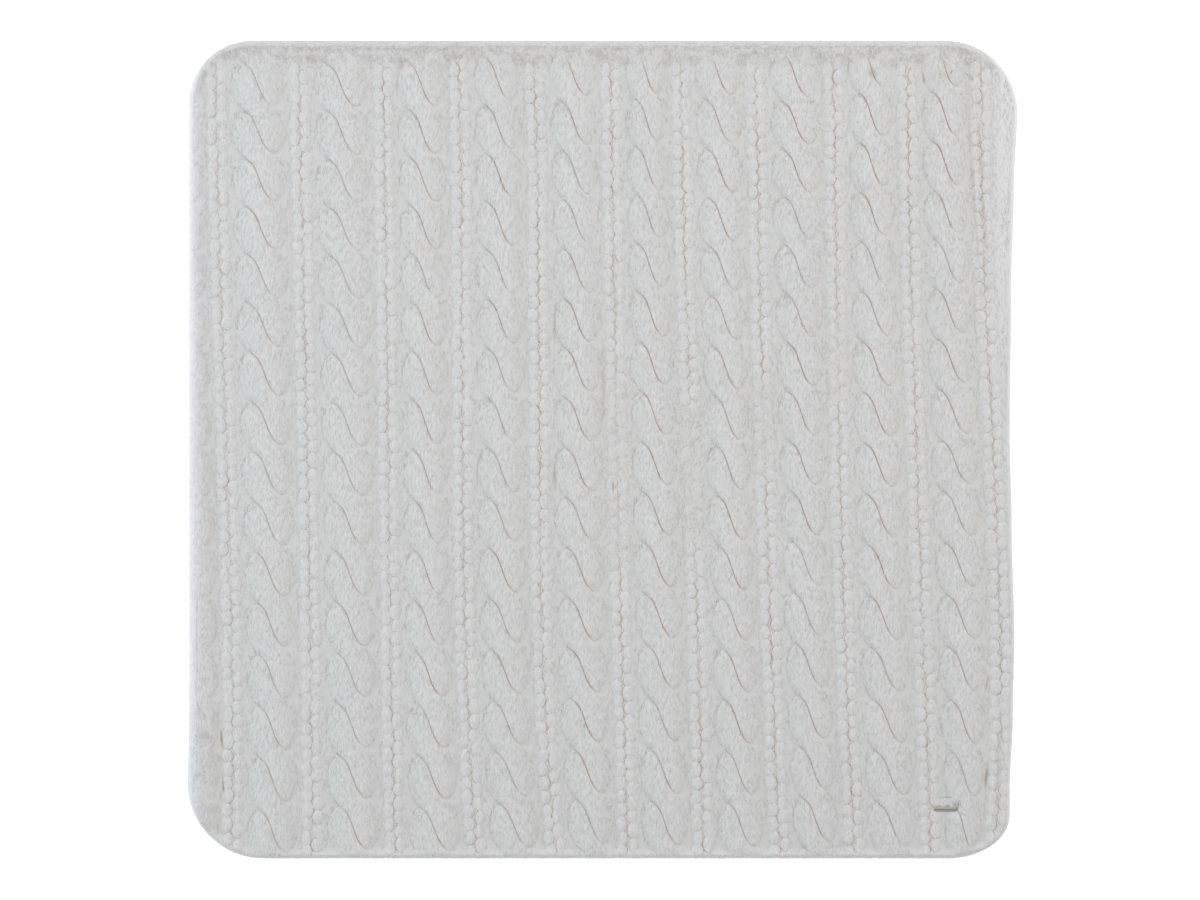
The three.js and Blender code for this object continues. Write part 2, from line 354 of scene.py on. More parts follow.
relief = {
    # in plan: the slab, the strips, and how the strands follow each other down a cable
    "slabLeft": -0.48, "slabRight": 0.405, "stationTop": 0.375, "stationStep": 0.25, "stationReach": 0.45,
    "cableGap": 0.0026, "stripHalf": 0.0118, "strandPitch": 0.0477, "creasesBetween": 15.0,
    "firstStrand": -10.6, "bulge": 0.6, "skewLeft": 0.9, "skewRight": 1.4,
    # a crease falls in a soft S across the cable, and wanders a little
    "creaseDrop": 0.0215, "tipShare": 0.50, "straightness": 0.62, "steepShare": 0.55, "sag": 0.04,
    "roundFrom": 0.60, "roundShare": 0.18, "wander": 0.0026, "wanderScale": 1.3,
    "wanderDetail": 4.0, "wanderRough": 0.62,
    "wanderAcross": 1.3, "wanderAlong": 1.7, "wanderApart": 2.7,
    # heights of the cloth
    "underZ": -0.004, "floorZ": 0.0077, "crownZ": 0.0120, "rimZ": 0.0112, "seatZ": 0.0080,
    "stripEdgeZ": 0.0086, "stripLeftZ": 0.0077, "stripLobeZ": 0.0089, "stripGrooveZ": 0.0087,
    "unevenCrown": 0.0009, "puffAlong": 0.71, "puffApart": 3.1, "wave": 0.0006, "waveScale": 9.0,
    "ruffleWave": 0.0024, "ruffleScale": 80.0, "ruffleDetail": 3.0, "mattRuffle": 0.5, "mattShown": 0.6,
    # how high the floor of a crease is, as a share of the crown: it is lost at the right end
    "creaseShare": 0.64, "lobeShare": 0.93, "hookFrom": 0.55, "hookTo": 0.8,
    "deepest": 0.05, "shallowest": 0.9, "marginalShare": 0.97,
    "faintShare": 0.985, "faintFrom": 0.45, "faintOver": 0.2,
    "vagueAlong": 0.37, "vagueApart": 5.3, "vagueAcross": 0.5,
    # how a strand rises from its edges
    "startShare": 0.30, "endShare": 0.15, "startCurve": 0.8, "endCurve": 0.5,
    "domePower": 2.6, "domeCurve": 0.92, "tipFill": 0.42, "fillSlope": 4.0,
    # how the brown and the painted shade of a crease fade
    "nearShare": 0.07, "fadeShare": 0.9, "fadeCurve": 2.5,
    "boldSlope": 3.0, "boldMiddle": 0.75, "faintest": 0.15, "boldest": 1.1,
    "stripRoom": 0.02, "mergeWithin": 0.0002, "sharpAngle": 0.9,
}
cableColumns = 15
stripColumns = 5
strandRows = 14
rowShift = 13  # the row that meets a crease's right end and the next cable's left one
strandsInSlab = 27.8

fading = {  # where the relief ends: a ruffled band along the top, and the turned rim
    "topFull": 0.366, "topNone": 0.383, "uneven": 0.018, "unevenScale": 22.0,
    "rimNone": 0.0, "rimFull": 0.010,
    "ruffleFrom": 0.356, "ruffleTo": 0.382, "ruffleMatt": 0.7, "mattSoft": 0.012,
    "cornerX": -0.392, "cornerY": -0.310, "cornerHalfX": 0.012, "cornerHalfY": 0.055, "cornerSoft": 0.010,
}

matted = [  # stretches where the pile has felted and the beads hardly show
    {"strip": 7, "fromY": 0.045, "toY": -0.090, "amount": 0.80},
    {"strip": 6, "fromY": 0.085, "toY": -0.110, "amount": 0.50},
    {"strip": 8, "fromY": 0.065, "toY": -0.020, "amount": 0.60},
    {"strip": 9, "fromY": 0.125, "toY": 0.045, "amount": 0.60},
]

tagLow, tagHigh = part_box("tag")
tagX, tagY = (tagLow[0] + tagHigh[0]) / 2, (tagLow[1] + tagHigh[1]) / 2
tagHalfX, tagHalfY = (tagHigh[0] - tagLow[0]) / 2, (tagHigh[1] - tagLow[1]) / 2
tagSeat = {"inset": 0.0005, "soft": 0.0045, "bareSoft": 0.002}  # the flat place under the tag


def cornerPoints(centreX, centreY, corner, startAngle):  # a quarter of an ellipse, counterclockwise
    across, down = corner
    steps = outline["cornerSteps"]
    angles = [startAngle + math.pi / 2 * i / steps for i in range(steps + 1)]
    return [(centreX + across * math.cos(a), centreY + down * math.sin(a)) for a in angles]


def sidePoints(side, fromY, toY):  # the wandering side between two heights, with eased steps
    count = max(2, round(abs(toY - fromY) / outline["sideStep"]))
    points = []
    for i in range(1, count):
        y = fromY + (toY - fromY) * i / count
        above = [row for row in sides if row["y"] >= y]
        upper = above[-1] if above else sides[0]
        lower = sides[min(sides.index(upper) + 1, len(sides) - 1)]
        gap = upper["y"] - lower["y"]
        share = (upper["y"] - y) / gap if gap else 0
        ease = share * share * (3 - 2 * share)
        points.append((upper[side] + (lower[side] - upper[side]) * ease, y))
    return points


def outlinePoints():  # counterclockwise from the lower end of the right side's corner
    topY, bottomY = outline["topY"], outline["bottomY"]
    first, last = sides[0], sides[-1]
    topRight, topLeft = outline["topRight"], outline["topLeft"]
    bottomLeft, bottomRight = outline["bottomLeft"], outline["bottomRight"]
    return [
        *cornerPoints(last["right"] - bottomRight[0], bottomY + bottomRight[1], bottomRight, -math.pi / 2),
        *sidePoints("right", bottomY + bottomRight[1], topY - topRight[1]),
        *cornerPoints(first["right"] - topRight[0], topY - topRight[1], topRight, 0),
        *cornerPoints(first["left"] + topLeft[0], topY - topLeft[1], topLeft, math.pi / 2),
        *sidePoints("left", topY - topLeft[1], bottomY + bottomLeft[1]),
        *cornerPoints(last["left"] + bottomLeft[0], bottomY + bottomLeft[1], bottomLeft, math.pi),
    ]


def insetPoint(points, i, inset):  # a point of the outline, moved inwards along its own normal
    before = points[i - 1]
    after = points[(i + 1) % len(points)]
    dx, dy = after[0] - before[0], after[1] - before[1]
    length = math.hypot(dx, dy)
    return points[i][0] - dy / length * inset, points[i][1] + dx / length * inset


def softEdge():  # the closed pillow form that the relief is cut to
    points = outlinePoints()
    rows = [(rim["underInset"], 0.0)]
    for step in range(rim["steps"] + 1):
        angle = math.pi / 2 * step / rim["steps"]
        height = (rim["top"] - rim["foot"]) * math.sin(angle)
        rows.append((rim["width"] * (1 - math.cos(angle)), rim["foot"] + height))
    shape = bmesh.new()
    rings = []
    for inset, z in rows:
        rings.append([shape.verts.new((*insetPoint(points, i, inset), z)) for i in range(len(points))])
    for lower, upper in zip(rings, rings[1:]):
        for i in range(len(points)):
            j = (i + 1) % len(points)
            shape.faces.new((lower[i], lower[j], upper[j], upper[i]))
    shape.faces.new(list(reversed(rings[0])))
    shape.faces.new(rings[-1])
    mesh = bpy.data.meshes.new("softEdge")
    shape.to_mesh(mesh)
    shape.free()
    return mesh


def stripMiddle(graph, size, index, y):  # a smooth curve through the strip's four stations
    reach = size["stationReach"]
    t = (size["stationTop"] - y.limit(-1 * reach, reach)) / size["stationStep"]
    t1, t2, t3 = t - 1, t - 2, t - 3
    top, upper, lower, bottom = (
        graph.pick(index, [row[key] for row in strips]) for key in ("top", "upper", "lower", "bottom"))
    rising = top * t1 * t2 * t3 / -6 + upper * t * t2 * t3 / 2 - lower * t * t1 * t3 / 2
    return rising + bottom * t * t1 * t2 / 6


def creaseMiddle(graph, size, cable, strand):  # how high crease number strand lies in its cable
    first, last, lift = (
        graph.pick(cable, [row[key] for row in cables]) for key in ("first", "last", "lift"))
    share = strand / size["creasesBetween"]
    return blendOf(first, last, share) + lift * (share.limit(0, 1) * math.pi).sine()


def strandAt(size, cable, row):  # the strand number and the part of it that a row of the slab lies at
    place = (row + cable * rowShift + (size["firstStrand"] * strandRows).floor()) / strandRows
    whole = place.floor()
    part = 0.5 - 0.5 * ((place - whole) * math.pi).cosine()
    return whole, part


def rimDistance(graph, edge):  # how far each point lies from the outline, seen from above
    z = graph.here()[2]
    ring = graph.add("GeometryNodeDeleteGeometry", {"domain": "POINT"}, {
        "Geometry": edge, "Selection": z > rim["lowest"]})  # the lowest ring alone stays
    x, y, z = graph.here()
    return graph.add("GeometryNodeProximity", {"target_element": "EDGES"}, {
        0: ring, 2: graph.vector(x, y, 0.0)}, "Distance")


def bandAt(graph):  # 1 in the ruffled band along the top, and in the ruffled place at the lower left
    x, y, z = graph.here()
    uneven = (graph.noise(graph.vector(x, y, 0.0), fading["unevenScale"]) - 0.5) * fading["uneven"]
    corner = boxAt(
        x + uneven, y, fading["cornerX"], fading["cornerY"], fading["cornerHalfX"], fading["cornerHalfY"],
        fading["cornerSoft"])
    return (y + uneven).rise(fading["topFull"], fading["topNone"]).most(corner)


def mattedAt(strip, y):  # how far the pile of a strip has felted at this height
    soft = fading["mattSoft"]
    amount = fading["ruffleMatt"] * y.rise(fading["ruffleFrom"], fading["ruffleTo"])
    for stretch in matted:
        same = abs(strip - stretch["strip"]) < 0.5
        below = 1 - y.rise(stretch["fromY"] - soft, stretch["fromY"] + soft)
        above = y.rise(stretch["toY"] - soft, stretch["toY"] + soft)
        amount = amount + same * above * below * stretch["amount"]
    return amount.limit(0, 1)


def boxAt(x, y, middleX, middleY, halfX, halfY, soft):  # 1 inside a box, 0 a little way outside it
    inX = 1 - abs(x - middleX).rise(halfX, halfX + soft)
    inY = 1 - abs(y - middleY).rise(halfY, halfY + soft)
    return inX * inY


def cablePlace(graph, size, cable, inCable, strand, part):
    # across the cable from -1 to 1, how far the strand reaches to its sides, and how high up that place is
    place = ((inCable * (2 / (cableColumns - 1)) - 1).limit(-1, 1) * (math.pi / 2)).sine()
    skew = blendOf(size["skewLeft"], size["skewRight"], place * 0.5 + 0.5)
    swell = ((part ** skew) * math.pi).sine().most(0) ** size["bulge"]
    reach = blendOf(size["tipShare"], 1, swell)
    turn = (place * reach / size["tipShare"]).limit(-1, 1)
    steep = ((turn / size["steepShare"]).limit(-1, 1) * (math.pi / 2)).sine()
    eased = turn - size["roundShare"] * (turn - size["roundFrom"]).most(0) ** 2 / (1 - size["roundFrom"])
    curve = blendOf(steep, eased, size["straightness"]) - size["sag"] * (1 - turn * turn)
    drift = graph.vector(
        place * size["wanderAcross"], strand * size["wanderAlong"], cable * size["wanderApart"])
    bend = graph.noise(drift, size["wanderScale"], size["wanderDetail"], size["wanderRough"]) - 0.5
    y = creaseMiddle(graph, size, cable, strand) - size["creaseDrop"] * curve + bend * size["wander"]
    return place, reach, y


def cableHeight(graph, size, cable, whole, part, across):
    # each strand starts low under the one above it, and ends in a full round edge
    place, reach, marginal = across
    spread = place * reach
    creaseNumber = (whole + part + 0.5).floor()
    vague = graph.noise(graph.vector(
        creaseNumber * size["vagueAlong"], cable * size["vagueApart"], place * size["vagueAcross"]), 1.0)
    start = (part / size["startShare"]).limit(0, 1)
    stop = ((1 - part) / size["endShare"]).limit(0, 1)
    fullness = (start * (2 - start)) ** size["startCurve"] * (stop * (2 - stop)) ** size["endCurve"]
    hookFrom = size["tipShare"] * size["hookFrom"]
    outward = ((abs(spread) - hookFrom) / (size["hookTo"] - hookFrom)).limit(0, 1)
    crease = blendOf(size["creaseShare"] * (0.5 + vague), size["lobeShare"], outward)
    crease = crease.limit(size["deepest"], size["shallowest"])
    faint = ((spread - size["tipShare"] * size["faintFrom"]) / size["faintOver"]).limit(0, 1)
    crease = blendOf(crease, size["faintShare"], faint)
    crease = blendOf(crease, size["marginalShare"], marginal)
    inward = (place * size["fillSlope"]).limit(0, 1) * size["tipFill"]  # no notch at the right end
    filled = place * blendOf(1, reach, inward)
    dome = (1 - abs(filled) ** size["domePower"]).most(0) ** size["domeCurve"] * blendOf(crease, 1, fullness)
    puff = graph.noise(graph.vector(whole * size["puffAlong"], cable * size["puffApart"], 0.0), 1.0) - 0.5
    crown = size["crownZ"] + puff * size["unevenCrown"]
    return blendOf(size["floorZ"], crown, dome), vague


def stripHeight(size, inset):  # two low lobes, with a groove between them
    lobe = abs(inset) / size["stripHalf"]
    return blendOf(
        blendOf(size["stripGrooveZ"], size["stripLobeZ"], (lobe * 2).limit(0, 1)),
        blendOf(size["stripEdgeZ"], size["stripLeftZ"], inset < 0), (lobe * 2 - 1).limit(0, 1))


def carvedSlab(graph, size):  # a slab wider than the blanket, whose rows and columns follow the carving
    repeat = cableColumns + stripColumns
    columns = repeat * len(cables) + 2
    rows = round(strandsInSlab * strandRows)
    block = graph.add("GeometryNodeMeshCube", None, {
        "Size": (columns - 1, rows - 1, 1), "Vertices X": columns, "Vertices Y": rows, "Vertices Z": 2})
    gridX, gridY, gridZ = graph.here()
    column = (gridX + (columns - 1) / 2 + 0.5).floor()
    row = ((rows - 1) / 2 - gridY + 0.5).floor()
    cable = ((column - 0.5) / repeat).floor().limit(0, len(cables) - 1)
    inCable = column - 1 - cable * repeat
    inStrip = inCable > cableColumns - 0.5
    marginal = (cable < 0.5) * (1 - inStrip)  # the cable that the left side cuts off has lost its creases

    whole, part = strandAt(size, cable, row)
    strand = whole + part
    place, reach, cableY = cablePlace(graph, size, cable, inCable, strand, part)
    spread = place * reach

    # a place on the strip to the right of the cable
    nextWhole, nextPart = strandAt(size, cable + 1, row)
    nextCable = (cable + 1).least(len(cables) - 1)
    nextY = creaseMiddle(graph, size, nextCable, nextWhole + nextPart) + size["creaseDrop"]
    along = ((inCable - cableColumns + 1) / (stripColumns + 1)).limit(0, 1)
    stripY = blendOf(creaseMiddle(graph, size, cable, strand) - size["creaseDrop"], nextY, along)
    inset = ((inCable - cableColumns) / ((stripColumns - 1) / 2) - 1) * size["stripHalf"]

    y = blendOf(cableY, stripY, inStrip)
    leftX = stripMiddle(graph, size, cable, y)
    rightX = stripMiddle(graph, size, cable + 1, y)
    margin = size["stripHalf"] + size["cableGap"]
    cableX = blendOf(leftX + margin, rightX - margin, 0.5 + 0.5 * spread)
    atLeft = column < 0.5
    atRight = column > columns - 1.5
    x = blendOf(cableX, rightX + inset, inStrip)
    x = blendOf(x, size["slabLeft"], atLeft)
    x = blendOf(x, size["slabRight"], atRight)

    cableZ, vague = cableHeight(graph, size, cable, whole, part, (place, reach, marginal))
    top = blendOf(blendOf(cableZ, stripHeight(size, inset), inStrip), size["rimZ"], atRight)

    # how near the floor of a crease each point is, how low in the relief for the painted shade in hollows,
    # and how much room a tuft has there
    near = 1 - part.least(1 - part).rise(0.0, size["nearShare"])
    middle = 1 - size["fadeShare"] * (abs(spread) / size["tipShare"]).limit(0, 1) ** size["fadeCurve"]
    boldness = (vague - 0.5) * size["boldSlope"] + size["boldMiddle"]
    boldness = boldness.limit(size["faintest"], size["boldest"])
    upper = gridZ > 0
    values = {
        "upper": upper,
        "crease": near * middle * (1 - inStrip) * boldness * (1 - marginal) * upper,
        "deep": ((size["crownZ"] - top) / (size["crownZ"] - size["floorZ"])).limit(0, 1) * upper,
        "room": blendOf((1 - part) * size["strandPitch"], size["stripRoom"], inStrip),
        "matt": mattedAt(cable + 1, y) * inStrip,
    }
    for name, value in values.items():
        block = graph.store(block, name, value)
    return graph.moved(block, graph.vector(x, y, top))


def fadedSlab(graph, size, slab):
    # the relief fades towards the rim and the top band, where the pile is ruffled, and is flat under the tag
    x, y, top = graph.here()
    kept = rimDistance(graph, size["Geometry"]).rise(fading["rimNone"], fading["rimFull"])
    inBand = bandAt(graph)
    kept = kept * (1 - inBand)
    seat = boxAt(x, y, tagX, tagY, tagHalfX, tagHalfY - tagSeat["inset"], tagSeat["soft"])
    flatPlace = graph.vector(x, y, 0.0)
    wave = (graph.noise(flatPlace, size["waveScale"]) - 0.5) * size["wave"]
    loose = (graph.stored("matt") * size["mattRuffle"]).most(inBand)
    ruffle = graph.noise(flatPlace, size["ruffleScale"], size["ruffleDetail"]) - 0.5
    ruffle = ruffle * size["ruffleWave"] * loose
    top = blendOf(blendOf(size["rimZ"], top, kept) + wave + ruffle, size["seatZ"], seat)
    slab = graph.store(slab, "crease", graph.stored("crease") * kept)
    slab = graph.store(slab, "deep", graph.stored("deep") * kept)
    return graph.moved(slab, graph.vector(x, y, blendOf(size["underZ"], top, graph.stored("upper"))))


def cutToEdge(graph, size, slab):  # the soft-edged form with the slab's relief on its top
    cut = graph.add("GeometryNodeMeshBoolean", {"operation": "INTERSECT", "solver": "MANIFOLD"}, {
        1: [slab, size["Geometry"]]})
    cut = graph.add("GeometryNodeMergeByDistance", None, {"Geometry": cut, "Distance": size["mergeWithin"]})
    for name in ("crease", "deep", "room", "matt"):
        here = graph.add("GeometryNodeInputPosition")
        found = graph.add("GeometryNodeSampleNearestSurface", {"data_type": "FLOAT"}, {
            "Mesh": slab, "Value": graph.stored(name), "Sample Position": here})
        cut = graph.store(cut, name, found)
    x, y, z = graph.here()
    cut = graph.store(cut, "rim", rimDistance(graph, size["Geometry"]))
    cut = graph.store(cut, "ruffled", (graph.stored("matt") * size["mattShown"]).most(bandAt(graph)))
    cut = graph.store(cut, "seat", boxAt(x, y, tagX, tagY, tagHalfX, tagHalfY, tagSeat["bareSoft"]))
    smooth = graph.add("GeometryNodeSetShadeSmooth", {"domain": "FACE"}, {
        "Geometry": cut, "Shade Smooth": True})
    bend = graph.add("GeometryNodeInputMeshEdgeAngle")
    return graph.add("GeometryNodeSetShadeSmooth", {"domain": "EDGE"}, {
        "Geometry": smooth, "Selection": bend > size["sharpAngle"], "Shade Smooth": False})


def reliefTree(material):
    graph, size = newTree("carvedRelief", relief)
    slab = fadedSlab(graph, size, carvedSlab(graph, size))
    endTree(graph, cutToEdge(graph, size, slab), material, twoSided=True)
    return graph.tree


# The fur's finish

furLook = {
    "tone": (0.641, 0.638, 0.640), "palest": 1.06, "dullest": 0.92, "hollowShadeTone": (0.610, 0.606, 0.602),
    "creaseBrownAndShade": (0.48, 0.380, 0.315), "partedAndShade": (0.38, 0.32, 0.27), "tan": (0.61, 0.54, 0.475),
    "ruffledShadeTone": (0.622, 0.616, 0.612), "ruffledShadeShare": 0.8,
    "curlTone": (0.52, 0.475, 0.44), "curlShare": 0.45,
    "leftRimLightTone": (0.70, 0.71, 0.725), "rightRimLightTone": (0.712, 0.710, 0.714), "rightRimLightShare": 0.8,
    "roughness": 0.85, "specular": 0.2, "sheen": 0.15, "sheenRoughness": 0.6,
    "bump": 0.35, "bumpHeight": 0.0006,
    "streakScale": 900.0, "streakStretch": 0.2, "patchScale": 60.0, "cloudScale": 14.0,
    "streakDetail": 2.0, "patchDetail": 3.0, "noiseRough": 0.6,
    "streakBand": (0.3, 0.7), "curlBand": (0.50, 0.72), "creaseBand": (0.1, 1.0), "seamBand": (0.15, 0.90),
    "markEdge": (0.3, 1.4), "tuftUneven": 0.05, "cloudUneven": 0.05, "ragged": 2.0,
    "brownLeft": 0.75, "brownMiddle": 1.05, "brownUpper": 0.4, "paleRight": 0.25,  # how brown the lines are
    "seamSlope": 3.4, "seamLoss": 0.7, "seamMost": 1.1, "creaseLeast": 0.45,
}

furPlaces = {  # where the fur's tone changes, in metres, as pairs from none to all
    "leftRimLight": (-0.394, -0.384), "rightRimLight": (0.372, 0.386), "rightRimLightUpper": (0.0, 0.2),
    "brownAcross": (-0.35, 0.0), "brownRight": (0.10, 0.35), "brownUp": (-0.2, 0.32),
}

marks = {  # partings in the pile, painted shade along grooves and valleys and under the tag, and faintly soiled places: middle, half sizes, turn in degrees, and how strong each is
    "tan": [
        {"x": 0.322, "y": 0.359, "halfX": 0.011, "halfY": 0.008, "turn": 0, "amount": 0.45},
        {"x": 0.35, "y": 0.35, "halfX": 0.005, "halfY": 0.0035, "turn": 0, "amount": 0.4},
        {"x": 0.262, "y": 0.277, "halfX": 0.003, "halfY": 0.007, "turn": 10, "amount": 0.4},
        {"x": 0.2575, "y": 0.25, "halfX": 0.01, "halfY": 0.008, "turn": 0, "amount": 0.35},
        {"x": -0.1767, "y": 0.1931, "halfX": 0.005, "halfY": 0.008, "turn": 0, "amount": 0.2},
        {"x": -0.168, "y": 0.1257, "halfX": 0.005, "halfY": 0.008, "turn": 0, "amount": 0.2},
    ],
    "partedAndShade": [
        {"x": -0.194, "y": 0.3725, "halfX": 0.005, "halfY": 0.006, "turn": 20, "amount": 0.2},
        {"x": 0.0005, "y": 0.377, "halfX": 0.0045, "halfY": 0.0035, "turn": 0, "amount": 0.18},
        {"x": 0.0149, "y": 0.3847, "halfX": 0.0045, "halfY": 0.003, "turn": 0, "amount": 0.18},
        {"x": -0.3665, "y": -0.2785, "halfX": 0.0012, "halfY": 0.008, "turn": 4, "amount": 0.9},
        {"x": -0.365, "y": -0.323, "halfX": 0.0012, "halfY": 0.0085, "turn": 2, "amount": 0.85},
        {"x": 0.0101, "y": -0.036, "halfX": 0.0011, "halfY": 0.0075, "turn": 0, "amount": 0.8},
        {"x": 0.3695, "y": -0.314, "halfX": 0.0016, "halfY": 0.011, "turn": -6, "amount": 0.7},
        {"x": 0.37, "y": -0.2245, "halfX": 0.0014, "halfY": 0.009, "turn": -8, "amount": 0.6},
        {"x": 0.3815, "y": -0.299, "halfX": 0.0095, "halfY": 0.0013, "turn": 6, "amount": 0.28},
        {"x": 0.3352, "y": 0.3626, "halfX": 0.0011, "halfY": 0.003, "turn": -34, "amount": 0.85},
        {"x": 0.351, "y": 0.3606, "halfX": 0.0011, "halfY": 0.0036, "turn": 40, "amount": 0.5},
        {"x": 0.3, "y": 0.3587, "halfX": 0.0009, "halfY": 0.0036, "turn": 35, "amount": 0.4},
        {"x": 0.3295, "y": 0.3722, "halfX": 0.0009, "halfY": 0.004, "turn": 35, "amount": 0.4},
        {"x": 0.3086, "y": 0.3578, "halfX": 0.0013, "halfY": 0.0065, "turn": 12, "amount": 0.6},
        {"x": 0.325, "y": 0.377, "halfX": 0.0012, "halfY": 0.0055, "turn": 5, "amount": 0.4},
        {"x": 0.354, "y": 0.358, "halfX": 0.0015, "halfY": 0.005, "turn": 30, "amount": 0.45},
        {"x": 0.2595, "y": 0.362, "halfX": 0.004, "halfY": 0.006, "turn": 30, "amount": 0.4},
        # painted shadow just under the tag's lower edge
        {"x": tagX, "y": tagLow[1] - 0.0003, "halfX": tagHalfX, "halfY": 0.0006, "turn": -2, "amount": 0.1},
        {"x": tagX - 0.0058, "y": tagY + 0.0015, "halfX": 0.0018, "halfY": 0.001, "turn": 0, "amount": 0.9},
        {"x": tagX + 0.0019, "y": tagY + 0.0018, "halfX": 0.002, "halfY": 0.001, "turn": 0, "amount": 0.9},
        {"x": tagX - tagHalfX - 0.0028, "y": tagY + 0.003, "halfX": 0.001, "halfY": 0.004, "turn": 35,
         "amount": 0.5},
        {"x": 0.3465, "y": -0.3505, "halfX": 0.003, "halfY": 0.0009, "turn": -25, "amount": 0.4},
        # long thin lines of painted shade along valleys beside strips, by the last strip, and in a groove
        # near the left side
        {"x": -0.046, "y": 0.1175, "halfX": 0.0018, "halfY": 0.018, "turn": 0, "amount": 0.3},
        {"x": -0.046, "y": -0.029, "halfX": 0.0018, "halfY": 0.011, "turn": 0, "amount": 0.3},
        {"x": 0.0005, "y": 0.057, "halfX": 0.0018, "halfY": 0.038, "turn": 0, "amount": 0.28},
        {"x": 0.357, "y": 0.25, "halfX": 0.002, "halfY": 0.095, "turn": 4, "amount": 0.24},
        {"x": 0.365, "y": 0.25, "halfX": 0.002, "halfY": 0.095, "turn": 4, "amount": 0.17},
        {"x": -0.39, "y": -0.215, "halfX": 0.001, "halfY": 0.085, "turn": 0, "amount": 0.24},
    ],
}


def markAt(graph, place, ragged, edge, mark):  # how strongly one mark shows at a place
    local = graph.add("ShaderNodeMapping", {"vector_type": "TEXTURE"}, {
        "Vector": place, "Location": (mark["x"], mark["y"], 0.0),
        "Rotation": (0.0, 0.0, math.radians(mark["turn"])), "Scale": (mark["halfX"], mark["halfY"], 1.0)})
    far = graph.add("ShaderNodeVectorMath", {"operation": "LENGTH"}, {0: local}, "Value")
    return (1 - (far + ragged).rise(*edge)) * mark["amount"]


def furMaterial(name, look):
    material = bpy.data.materials.new(name)
    material.use_nodes = True
    graph = Graph(material.node_tree)
    shader = material.node_tree.nodes["Principled BSDF"]
    place = graph.add("ShaderNodeTexCoord", None, None, "Object")
    crease, deep, shade, seam, ruffled = (
        graph.add("ShaderNodeAttribute", {"attribute_name": key}, None, "Fac")
        for key in ("crease", "deep", "shade", "seam", "ruffled"))
    stretched = graph.add("ShaderNodeMapping", None, {
        "Vector": place, "Scale": (1.0, look["streakStretch"], 1.0)})
    streak = graph.noise(stretched, look["streakScale"], look["streakDetail"], look["noiseRough"])
    patchy = graph.noise(place, look["patchScale"], look["patchDetail"], look["noiseRough"])
    cloudy = graph.noise(place, look["cloudScale"])
    x, y, z = graph.parts(place)

    def shareAt(along, key):
        return along.rise(*furPlaces[key])

    pale = tuple(c * look["palest"] for c in look["tone"])
    dull = tuple(c * look["dullest"] for c in look["tone"])
    tone = graph.mixed(streak.rise(*look["streakBand"]), dull, pale)
    # painted shade: a darker tone low in the relief, in the hollows beside cables and strips
    tone = graph.mixed(deep, tone, look["hollowShadeTone"])
    # painted shade: the ruffled pile a little darker, for its self-shadowing
    tone = graph.mixed(ruffled * look["ruffledShadeShare"], tone, look["ruffledShadeTone"])
    curls = ruffled * patchy.rise(*look["curlBand"])
    tone = graph.mixed(curls * look["curlShare"], tone, look["curlTone"])
    # painted light: a paler, bluish tone on the left rim and a paler tone on the upper part of the right rim
    tone = graph.mixed(1 - shareAt(x, "leftRimLight"), tone, look["leftRimLightTone"])
    right = shareAt(x, "rightRimLight") * shareAt(y, "rightRimLightUpper") * look["rightRimLightShare"]
    tone = graph.mixed(right, tone, look["rightRimLightTone"])
    browner = blendOf(look["brownLeft"], look["brownMiddle"], shareAt(x, "brownAcross"))
    upTurn = shareAt(y, "brownUp") * look["brownUpper"] - look["paleRight"]
    browner = browner + shareAt(x, "brownRight") * upTurn
    seamShown = (patchy * look["seamSlope"] - look["seamLoss"]).limit(0, look["seamMost"])
    seamShown = seam.rise(*look["seamBand"]) * seamShown
    creaseShown = crease.rise(*look["creaseBand"]) * (cloudy + look["creaseLeast"])
    # crease and seam lines: the brown of the shorn pile, darkened further as painted crease shade
    lines = creaseShown.most(seamShown) * browner
    tone = graph.mixed(lines.limit(0, 1), tone, look["creaseBrownAndShade"])
    ragged = (patchy - 0.5) * look["ragged"]
    for kind, places in marks.items():
        shown = 0.0
        for mark in places:
            shown = markAt(graph, place, ragged, look["markEdge"], mark).most(shown)
        tone = graph.mixed(shown, tone, look[kind])
    bright = graph.add("ShaderNodeVectorMath", {"operation": "SCALE"}, {
        0: tone, "Scale": 1 + shade * look["tuftUneven"] + (cloudy - 0.5) * look["cloudUneven"]})
    material.node_tree.links.new(bright.socket, shader.inputs["Base Color"])
    shader.inputs["Roughness"].default_value = look["roughness"]
    shader.inputs["Sheen Weight"].default_value = look["sheen"]
    shader.inputs["Sheen Roughness"].default_value = look["sheenRoughness"]
    shader.inputs["Specular IOR Level"].default_value = look["specular"]
    bump = graph.add("ShaderNodeBump", None, {
        "Strength": look["bump"], "Distance": look["bumpHeight"], "Height": streak})
    material.node_tree.links.new(bump.socket, shader.inputs["Normal"])
    return material


fur = furMaterial("carvedFur", furLook)
cloth = grow("furCloth", softEdge(), reliefTree(fur), relief)
print("cloth carved:", len(cloth.data.polygons), "faces")


# Beads: two columns on each strip, half a pitch apart, draped over the cloth

